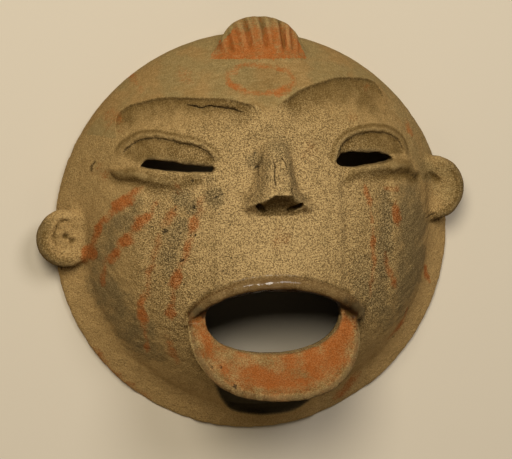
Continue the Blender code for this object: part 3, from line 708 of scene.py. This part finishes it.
# the lower lip is red inside, strongest by the mouth on the right and at the bottom
lip_here, lip_turn, lip_level = over_plan(lip_share), over_plan(turn), over_plan(lip_middle)
on_lip = (pz > lip_level - 1.5) & (pz > MOUTH_LEVEL) & (py < -29) & (lip_here < 1.35) & (lip_here > -0.4)
lip_red = 0.55 - 0.8 * ((lip_here - 0.45) / 0.62) ** 4
lip_red += 0.6 * hill(lip_here - 0.25, 0.35) * hill(lip_turn - 0.75, 0.5)
lip_red += 0.5 * hill(lip_here - 0.62, 0.25) * hill(lip_turn - 1.7, 0.5)
lip_red -= 0.45 * hill(lip_here - 0.15, 0.3) * hill(lip_turn - 2.0, 0.5)
lip_red += 0.38 * uneven(5, 46, px, py)
lip_red = np.maximum(lip_red, 0.3 + 0.15 * uneven(3, 47, px, py))
red = np.where(on_lip, lip_red, red)
grey = np.where(on_lip, -1, grey)

# dark brown clay with painted shade lies under the brows, in and under the lids, on the nose's foot and
# on the lower lip's edge, with near-black painted deep shade in the deepest places and round the mouth;
# the tuft's grooves and top, the middle of the forehead and the left ear are darker too
dark = np.zeros(count)
deep_shade = np.zeros(count)
# below each brow's edge: painted shade over a brown tint, fading down the socket, with a near-black painted
# shadow line along the edge
for points, strength, fall in zip(BROWS, (1.25, 1.25), (8.0, 8.5)):
    above, share = beside(points, px, py)
    streaks = 0.9 + 0.22 * uneven(2.4, 61, px, py * 0.3) + 0.16 * uneven(7, 64, px, py)
    band = ease((0.5 - above) / 0.6) * np.exp(-(np.maximum(-above, 0) / fall) ** 1.5)
    dark = np.maximum(dark, strength * streaks * band * ends(share, 0.15))
    deep_shade = np.maximum(deep_shade, 0.45 * hill(above + 0.5, 0.9) * ends(share, 0.1))
# under the right brow: broad patches of painted shade with brown clay
under_brow = (py < np.interp(px, *zip(*BROWS[1])) - 0.5) & (px > 0)
for x, y, across, along, strength in BROW_PATCHES:
    patch = hill(np.hypot((px - x) / across, (py - y) / along), 1.0)
    dark = np.maximum(dark, strength * (0.9 + 0.2 * uneven(3, 66, px, py)) * patch * under_brow)
# in and round each eye: painted shade over brown clay on the sunk lid, along the roll and its foot, and on
# the lower roll and under it; near black over the slit, and a painted shadow line under the lower roll's
# outer end
for i, (edge, lower, slit) in enumerate(zip(LID_EDGES, LOWER_LIDS, SLITS)):
    above, share = beside(edge, px, py)
    lid = ease((0.3 - above) / 0.7) * ends(share, 0.04) * (above > -12) * (py > 31)
    dark = np.maximum(dark, ((0.8, 0.95)[i] + 0.25 * uneven(4, 62, px, py)) * lid)
    dark = np.maximum(dark, (0.62, 0.78)[i] * hill(above - 1.4, 2.2) * ends(share, 0.05))
    dark = np.maximum(dark, (0.95, 1.1)[i] * hill(above - 3.1, 0.8) * ends(share, 0.08))
    over = py - np.interp(px, slit[0], slit[1]) + 0.5 * uneven(1.6, 65, px, py)
    inside = ease((px - slit[0][0]) / 3) * ease((slit[0][-1] + 1 - px) / 3) * (over > -1.5) * (over < 8)
    dark = np.maximum(dark, np.exp(-np.maximum(over, 0) / 2.2) * inside)
    deep_shade = np.maximum(deep_shade, np.exp(-np.maximum(over, 0)) * inside)
    above, share = beside(lower, px, py)
    outer = share if lower[0][0] > 0 else 1 - share
    dark = np.maximum(dark, hill(above - 2.2, 3.6) * ends(share, 0.05))
    dark = np.maximum(dark, (0.55, 1.0)[i] * hill(above + 1.4, 2.6) * ease(outer * 1.6) * ends(share, 0.05))
    deep_shade = np.maximum(deep_shade, 0.6 * hill(above + 0.3, 0.7) * ease((outer - 0.55) / 0.4) * ends(share, 0.08))
nose_grey = hill(np.hypot(px - 0.3, (py - 43.0) * 0.9), 6.0)
left_flank = 0.7 * hill(px + 6.4 + 0.25 * (30 - py), 3.4) * ease((46 - py) / 8)
# the nose's right flank, on the side away from the main lamp, is greyed as smoke grey with painted shade
right_flank = 0.95 * hill(px - 5.8 - 0.2 * (30 - py), 2.6) * ease((45 - py) / 8)
nose_grey = np.maximum(nose_grey, np.maximum(left_flank, right_flank) * ease((py - 16) / 5))
nose_grey = np.maximum(nose_grey, 0.35 * hill(px - 1.0, 7) * ease((py - 14) / 4) * ease((46 - py) / 6))
grey = np.maximum(grey, 0.9 * nose_grey - 0.2)
# the nose's cut-back foot faces away from the lamps: painted shade, near black between the nostrils
foot_plane = ease((nose_front(px) - py) / 0.8) * ease((py - NOSE_FOOT_Y + 1.5) / 1.5)
foot_plane *= ease((17 - np.abs(px)) / 5)
dark = np.maximum(dark, (0.35 + 0.65 * ease((10.5 - np.abs(px)) / 3)) * foot_plane)
deep_shade = np.maximum(deep_shade, 0.42 * ease((9.5 - np.abs(px)) / 3) * foot_plane)
dark = np.maximum(dark, 0.42 * hill(np.hypot(px + 2.5, (py - 70.4) * 1.6), 13))
for across, depth in TUFT_GROOVES:
    off = px - TUFT[0] - across * (1 + TUFT_FAN * (py - 84)) + 0.5 * uneven(7, 21, px, py)
    dark = np.maximum(dark, 0.85 * depth * hill(off, 0.8) * ease((py - 80) / 4) * (on_tuft > 0.3))
dark = np.maximum(dark, 0.7 * ease((py - 97) / 3) * (np.abs(px) < 22))
# the lower lip's rounded outer edge turns away from the lamps: painted shade over the lip's brown clay, near
# black at the very edge
lip_edge = ease((lip_here - 0.86) / 0.16)
dark = np.where(on_lip, np.maximum(dark, 0.4 + 0.3 * uneven(5, 63, px, py) + 0.4 * lip_edge), dark)
deep_shade = np.where(on_lip, np.maximum(deep_shade, 0.55 * ease((lip_here - 0.99) / 0.08)), deep_shade)
# painted shade, near black, in the creases at the mouth's corners, over dark clay lumps on the right
for x, y, size, strength in MOUTH_CORNER_SHADE:
    deep_shade = np.maximum(deep_shade, strength * near(x, y, size) * (pz > 40))
dark = np.maximum(dark, 0.4 * near(*EARS[0], 13))
above, share = beside(CHIN_HOLLOW, px, py)
lip_shade = ease((above + 0.6) / 1.8) * np.exp(-(np.clip(above - 7, 0, 60) / 6) ** 2) * ease((-48 - py) / 10)
lip_shade *= (pz < lip_level - 2.0) * ends(share, 0.12)
roll_above, share = beside(UPPER_LIP, px, py)
on_roll = pz > MOUTH_LEVEL
amber = np.clip(1.9 * hill(roll_above + 0.6, 2.9), 0, 1) * ends(share, 0.06) * on_roll
gloss = amber * (0.15 + 0.85 * hill(px + 5.5, 9.5))
# painted shade in the crease over the upper lip's roll, and near black under the roll where it turns down to
# the mouth
deep_shade = np.maximum(deep_shade, 0.5 * hill(roll_above - 3.2, 0.7) * ends(share, 0.1) * on_roll)
under_roll = (roll_above > -7) * on_roll * ~on_lip
deep_shade = np.maximum(deep_shade, 0.9 * ease((-roll_above - 1.3) / 1.5) * ends(share, 0.05) * under_roll)

crack_lines = [BROW_CRACK, *NOSE_CRACKS, *LID_EDGES, NOSE_SIDE, RIGHT_CREASE, SCRATCH]
crack = np.full(count, 9.0)
crack_depth = np.zeros(count)
for points, strength in zip(crack_lines, CRACK_STRENGTHS):
    off, share = beside(points, px, py)
    nearer = np.abs(off) < np.abs(crack)
    crack = np.where(nearer, off, crack)
    crack_depth = np.where(nearer, strength * ends(share, 0.12), crack_depth)

slip = ease((py - 50) / 14)
for points in BROWS:
    above, share = beside(points, px, py)
    slip = np.where((np.abs(above) < 14) & (share > 0.01) & (share < 0.99), ease((above + 1.0) / 2.0), slip)
round_the_side = ease((np.hypot(px, py) - 70) / 10) * ease((py + 12) / 34)
slip = np.maximum(slip, round_the_side * (0.65 - 0.3 * ease(-px / 40)))
slip = np.where(on_tuft > 0.5, 0.9, slip)
wiped = np.maximum(slip, 0.75 * ease((np.hypot(px, py * 0.95) - 52) / 16))
from_ears = np.min([np.hypot(px - x, py - y) for x, y in EARS], axis=0)
wiped = np.where(from_ears < 15, 0.6, wiped)
wiped = np.where(on_lip, 0.65 - 0.4 * lip_edge, wiped)
edge_clay = ease((np.hypot(px, py) - 68) / 12) * ease((36 - py) / 30)
muzzle_pale = np.exp(-((px + 4) / 40) ** 2 - ((py - 12) / 46) ** 2)

# the ears: painted shade on their outer sides, darker to the very edge, over darker clay at the rim; painted
# shade under the right ear's fold and in the left ear's ring groove and pricks
ear_shade = np.zeros(count)
for (x, y), reach, turned in zip(EARS, EAR_RADII, (math.radians(205), math.radians(-15))):
    out = np.hypot(px - x, py - y)
    way = np.cos(np.arctan2(py - y, px - x) - turned)
    on_ear = out < reach + 2
    side_on = ease((way + 0.3) / 1.2) * on_ear
    ear_shade = np.maximum(ear_shade, ease((out - reach + 6.0) / 3.4) * (0.25 * on_ear + 0.75 * side_on))
    ear_shade = np.maximum(ear_shade, 0.4 * ease((out - reach + 9.0) / 4.0) * side_on)
    deep_shade = np.maximum(deep_shade, 0.5 * ease((out - reach + 3.4) / 2.4) * side_on)
above, share = beside(RIGHT_FOLD, px, py)
ear_shade = np.maximum(ear_shade, 0.8 * hill(above + 1.2, 1.8) * ends(share, 0.2))
above, share = beside(LEFT_RING, px, py)
ear_shade = np.maximum(ear_shade, 0.6 * hill(above, 0.9) * ends(share, 0.2))
for x, y, depth in LEFT_PRICKS:
    ear_shade = np.maximum(ear_shade, 0.5 * depth * near(x, y, 1.5))

edges = np.zeros(len(finished.edges) * 2, np.int32)
finished.edges.foreach_get("vertices", edges)
a, b = edges.reshape(-1, 2).T
valence = np.maximum(np.bincount(a, minlength=count) + np.bincount(b, minlength=count), 1)


def neighbours(values):
    total = np.bincount(a, values[b], count) + np.bincount(b, values[a], count)
    return total / valence


# curvature of the skin: darker in hollows and creases as painted shade, lighter on ridges as wear
normals = np.zeros(count * 3, np.float32)
finished.vertices.foreach_get("normal", normals)
normals = normals.reshape(-1, 3).astype(float)
mean = place.copy()
for _ in range(6):
    mean = np.stack([neighbours(mean[:, i]) for i in range(3)], 1)
cavity_shade_and_wear = ((mean - place) * normals).sum(1)
for _ in range(2):
    cavity_shade_and_wear = neighbours(cavity_shade_and_wear)

# pits and grain are pressed into the skin itself, and the mask goes to its place on the table
grain = 0.15 * uneven(1.7, 51, px + pz * 0.6, py + pz * 0.5)
grain += 0.16 * uneven(3.1, 52, px - pz * 0.4, py + pz * 0.7)
grain *= np.where(under_shell, 0.5, 1.15 - 0.8 * slip - 0.4 * edge_clay)
grain -= PIT_DEPTH * np.clip(pitted, 0, 1)
place += grain[:, None] * normals
place += np.array([*RIM_CENTRE, 0.0])
place[:, 2] = np.maximum(place[:, 2], 0.0)
finished.vertices.foreach_set("co", (place / 1000).ravel().astype(np.float32))
finished.shade_smooth()

# none of the marks is laid inside the hollow, which gets only a near-black coat of painted shade
red, grey, pitted = (np.where(under_shell, -1, m) for m in (red, grey, pitted))
outside = (dark, deep_shade, lip_shade, amber, gloss, crack_depth)
dark, deep_shade, lip_shade, amber, gloss, crack_depth = (np.where(under_shell, 0, m) for m in outside)
marks = {
    "red_paint": red, "grey_smoke": grey, "dark_earth_and_shade": dark, "lip_shade": lip_shade, "ear_shade": ear_shade,
    "deep_shade": deep_shade, "slip": slip, "wiped": wiped, "rubbed_amber": amber, "gloss": gloss,
    "crack_side": crack, "crack_depth": crack_depth, "pitted": pitted, "rim_clay": edge_clay,
    "pale_clay": muzzle_pale, "cavity_shade_and_wear": np.clip(cavity_shade_and_wear / 0.5, -1, 1), "hollow_side": ease(under_shell * 1.0),
}
for name, values in marks.items():
    layer = finished.attributes.new(name, "FLOAT", "POINT")
    layer.data.foreach_set("value", values.astype(np.float32))
finished.update()

# The fired clay
# Coarse clay with sand in it, fired at low heat and never glazed: matt and speckled with
# grains half a millimetre across. Sums and products of values add the material's nodes.
CLAY_PALE = (0.46, 0.30, 0.122)
CLAY_MIDDLE = (0.318, 0.196, 0.069)
CLAY_DEEP = (0.19, 0.115, 0.036)
SLIP_OLIVE = (0.225, 0.155, 0.057)
SLIP_OCHRE = (0.262, 0.155, 0.052)
RIM_OCHRE = (0.41, 0.25, 0.090)
RED_EARTH = (0.33, 0.082, 0.012)
# dark brown, used both for dark clay and for painted shade
DARK_EARTH_AND_SHADE = (0.088, 0.048, 0.010)
SMOKE_GREY = (0.125, 0.088, 0.038)
AMBER = (0.074, 0.031, 0.005)
# near black, for the cracks and for painted deep shade
DEEP_SHADE_AND_CRACK = (0.018, 0.009, 0.003)
SOOT = (0.012, 0.009, 0.006)
SAND = (0.60, 0.42, 0.18)
GRIT = (0.05, 0.028, 0.009)
SHADE = (0.022, 0.018, 0.010)
# near black on the hollow's skin: painted shade, so the openings read dark
INSIDE_SHADE = (0.010, 0.006, 0.003)
ROUGHNESS = 0.82
SHINE_ROUGHNESS = 0.16
MATT_SHEEN = 0.03
CLOUD, BLOTCH, GRAIN, FINE_GRAIN, DARK_GRAIN, BRUSH_MARK = 0.016, 0.005, 0.0008, 0.00055, 0.0011, 0.0016
GRAIN_HEIGHT = 0.0009

clay_finish = bpy.data.materials.new("fired_clay_skin")
clay_finish.use_nodes = True
shader = clay_finish.node_tree.nodes["Principled BSDF"]


class Coat:
    """A value or a colour spread over the clay."""

    tree = clay_finish.node_tree

    def __init__(self, socket):
        self.socket = socket

    @classmethod
    def node(cls, kind, settings, sockets, output=0):
        made = cls.tree.nodes.new(kind)
        for name, value in settings.items():
            setattr(made, name, value)
        for name, value in sockets.items():
            if isinstance(value, cls):
                cls.tree.links.new(value.socket, made.inputs[name])
            else:
                made.inputs[name].default_value = value
        return cls(made.outputs[output])

    @classmethod
    def maths(cls, operation, *values):
        return cls.node("ShaderNodeMath", {"operation": operation}, dict(enumerate(values)))

    def __add__(self, other):
        return Coat.maths("ADD", self, other)

    def __sub__(self, other):
        return Coat.maths("SUBTRACT", self, other)

    def __rsub__(self, other):
        return Coat.maths("SUBTRACT", other, self)

    def __mul__(self, other):
        return Coat.maths("MULTIPLY", self, other)

    __radd__ = __add__
    __rmul__ = __mul__

    def between(self, low, high):
        """0 at low, 1 at high, eased."""
        settings = {"interpolation_type": "SMOOTHSTEP"}
        return Coat.node("ShaderNodeMapRange", settings, {"Value": self, "From Min": low, "From Max": high})


def mark(name):
    return Coat.node("ShaderNodeAttribute", {"attribute_name": name}, {}, "Fac")


place_on_mask = Coat.node("ShaderNodeTexCoord", {}, {}, "Object")


def mottle(size, detail=2.0, rough=0.5, at=place_on_mask):
    """Cloudy variation from 0 to 1, `size` metres across."""
    sockets = {"Vector": at, "Scale": 1 / size, "Detail": detail, "Roughness": rough}
    return Coat.node("ShaderNodeTexNoise", {}, sockets)


def coated(under, over, cover):
    """One colour over another, as far as cover says."""
    mixed = Coat.node("ShaderNodeMix", {"data_type": "RGBA"}, {0: cover})
    mix = mixed.socket.node
    for slot, colour in ((6, under), (7, over)):
        if isinstance(colour, Coat):
            Coat.tree.links.new(colour.socket, mix.inputs[slot])
        else:
            mix.inputs[slot].default_value = (*colour, 1)
    return Coat(mix.outputs[2])


stretched = Coat.node("ShaderNodeMapping", {}, {"Vector": place_on_mask, "Scale": (0.22, 1, 1)})
clouds = mottle(CLOUD, 3.0)
blotches = mottle(BLOTCH, 3.0)
grains = mottle(GRAIN, 2.0, 0.6)
fine_grains = mottle(FINE_GRAIN, 1.0)
dark_grains = mottle(DARK_GRAIN, 2.0, 0.7)
brushed = mottle(BRUSH_MARK, 3.0, 0.6, stretched)


def worn(name, by_blotches, by_grains):
    """A mark broken up by the blotches and the grains."""
    return mark(name) + (blotches - 0.5) * by_blotches + (grains - 0.5) * by_grains


coarse = (1 - mark("wiped") * 0.72) * (1 - mark("gloss") * 0.9)
coarse = coarse * (1 - mark("rubbed_amber") * 0.6) * (1 - mark("dark_earth_and_shade") * 0.4)
unpainted = 1 - mark("red_paint").between(0.0, 0.8) * 0.5
from_crack = Coat.maths("ABSOLUTE", worn("crack_side", 1.6, 1.4))
cracked = (0.44 - from_crack).between(0.0, 0.3) * mark("crack_depth")
slip_colour = coated(SLIP_OLIVE, SLIP_OCHRE, clouds.between(0.42, 0.62))

# Several coats below are painted shade: the dark brown and the near black in creases and down-facing places,
# the ears' shaded sides, the darkening in concave places, the shade under the lip and the near-black hollow
colour = CLAY_MIDDLE
for over, cover in (
    (CLAY_PALE, (mark("pale_clay") * 0.7 + clouds * 0.5).between(0.2, 0.9)),
    (CLAY_DEEP, (clouds * 0.5 + blotches * 0.5).between(0.48, 0.62) * 0.35),
    (RIM_OCHRE, mark("rim_clay") * (0.5 + clouds * 0.6)),
    (slip_colour, mark("slip").between(0.1, 0.95) * (0.7 + blotches * 0.4)),
    (SMOKE_GREY, worn("grey_smoke", 1.2, 1.2).between(-0.2, 1.0) * 0.75),
    (DARK_EARTH_AND_SHADE, worn("dark_earth_and_shade", 0.4, 0.5).between(0.0, 1.0) * 0.8),
    (AMBER, worn("rubbed_amber", 0, 0.6).between(0.1, 0.8) * 0.93),
    (RED_EARTH, worn("red_paint", 1.2, 1.6).between(-0.1, 0.95) * 0.84),
    (DARK_EARTH_AND_SHADE, worn("ear_shade", 0, 1.2).between(0.1, 0.9) * 0.8),
    (SAND, fine_grains.between(0.5, 0.62) * coarse * unpainted * 0.5),
    (SAND, brushed.between(0.52, 0.7) * mark("slip") * 0.12),
    (GRIT, (1 - fine_grains).between(0.5, 0.62) * coarse * 0.62),
    (GRIT, grains.between(0.56, 0.66) * coarse * 0.5),
    (CLAY_DEEP, (0 - brushed).between(-0.5, -0.3) * mark("slip") * 0.5),
    (SOOT, dark_grains.between(0.64, 0.70) * coarse * 0.8),
    (DEEP_SHADE_AND_CRACK, worn("deep_shade", 0, 0.7).between(0.1, 0.95) * 0.9),
    (DARK_EARTH_AND_SHADE, mark("cavity_shade_and_wear").between(0.15, 0.9) * 0.5),
    (SAND, (0 - mark("cavity_shade_and_wear")).between(0.25, 0.9) * 0.18),
    (DEEP_SHADE_AND_CRACK, cracked * 0.85),
    (SOOT, worn("pitted", 0, 2.0).between(0.2, 0.8) * 0.8),
    (SHADE, mark("lip_shade") * 0.93),
    (INSIDE_SHADE, mark("hollow_side")),
):
    colour = coated(colour, over, cover)

rough = ROUGHNESS - mark("rubbed_amber") * 0.15 + (grains - 0.5) * 0.12
relief = grains * 0.9 * coarse + fine_grains * 0.5 * coarse + blotches * 0.6 - cracked * 0.8
raised = Coat.node("ShaderNodeBump", {}, {"Height": relief, "Strength": 1.0, "Distance": GRAIN_HEIGHT})
rubbed = mark("gloss") * 0.75
for name, coat in (("Base Color", colour), ("Roughness", rough), ("Normal", raised), ("Coat Weight", rubbed)):
    Coat.tree.links.new(coat.socket, shader.inputs[name])
shader.inputs["Coat Roughness"].default_value = SHINE_ROUGHNESS
shader.inputs["Specular IOR Level"].default_value = MATT_SHEEN

mask.data.materials.clear()
mask.data.materials.append(clay_finish)
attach(mask, "root")
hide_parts("clay_mask")

# The table, the lamps and the camera
# A sheet of pale paper under two soft lamps over the mask's forehead and a faint one past
# its chin, seen from above and a little from the upper left.
PAPER = (0.60, 0.515, 0.385)
TABLE_SIDE = 3.0
CAMERA_BACK = Vector((-0.180, 0.104, 0.978)).normalized()
CAMERA_AT = Vector((0.0021, -0.0028, 0.0))
CAMERA_AWAY = 0.9
LENS, SENSOR = 137.8, 36
PICTURE_WIDTH = 512
PICTURE_SHIFT = (4, 0.5)  # pixels
ROOM_TONE, ROOM_LIGHT = (1.0, 0.91, 0.74), 0.062

table_mesh = bpy.data.meshes.new("table")
half = TABLE_SIDE / 2
corners = [(-half, -half, 0), (half, -half, 0), (half, half, 0), (-half, half, 0)]
table_mesh.from_pydata(corners, [], [(0, 1, 2, 3)])
table = bpy.data.objects.new("table", table_mesh)
bpy.context.scene.collection.objects.link(table)
paper = bpy.data.materials.new("pale_paper")
paper.use_nodes = True
paper_shader = paper.node_tree.nodes["Principled BSDF"]
paper_shader.inputs["Base Color"].default_value = (*PAPER, 1)
paper_shader.inputs["Roughness"].default_value = 0.9
table.data.materials.append(paper)

LAMPS = (  # name, place, size, watts and tone
    ("lamp_left", (-0.36, 0.66, 1.30), 0.65, 17.6, (1.0, 0.96, 0.87)),
    ("lamp_right", (0.45, 0.70, 1.15), 0.6, 8.0, (0.97, 0.97, 1.0)),
    ("lamp_chin", (0.10, -0.90, 0.90), 0.8, 0.9, (1.0, 0.88, 0.66)),
)
for name, spot_at, size, power, tone in LAMPS:
    light = bpy.data.lights.new(name, "AREA")
    light.shape = "DISK"
    light.size = size
    light.energy = power
    light.color = tone
    lamp = bpy.data.objects.new(name, light)
    lamp.location = spot_at
    lamp.rotation_euler = (-Vector(spot_at)).to_track_quat("-Z", "Y").to_euler()
    bpy.context.scene.collection.objects.link(lamp)

world = bpy.data.worlds.new("room")
world.use_nodes = True
world.node_tree.nodes["Background"].inputs["Color"].default_value = (*ROOM_TONE, 1)
world.node_tree.nodes["Background"].inputs["Strength"].default_value = ROOM_LIGHT
bpy.context.scene.world = world
bpy.context.scene.view_settings.view_transform = "Standard"

camera = bpy.data.cameras.new("camera")
camera.lens = LENS
camera.sensor_width = SENSOR
camera.shift_x, camera.shift_y = (shift / PICTURE_WIDTH for shift in PICTURE_SHIFT)
eye = bpy.data.objects.new("camera", camera)
right = Vector((0, 1, 0)).cross(CAMERA_BACK).normalized()
up = CAMERA_BACK.cross(right)
turned = Matrix((right, up, CAMERA_BACK)).transposed().to_4x4()
eye.matrix_world = Matrix.Translation(CAMERA_AT + CAMERA_BACK * CAMERA_AWAY) @ turned
bpy.context.scene.collection.objects.link(eye)
bpy.context.scene.camera = eye
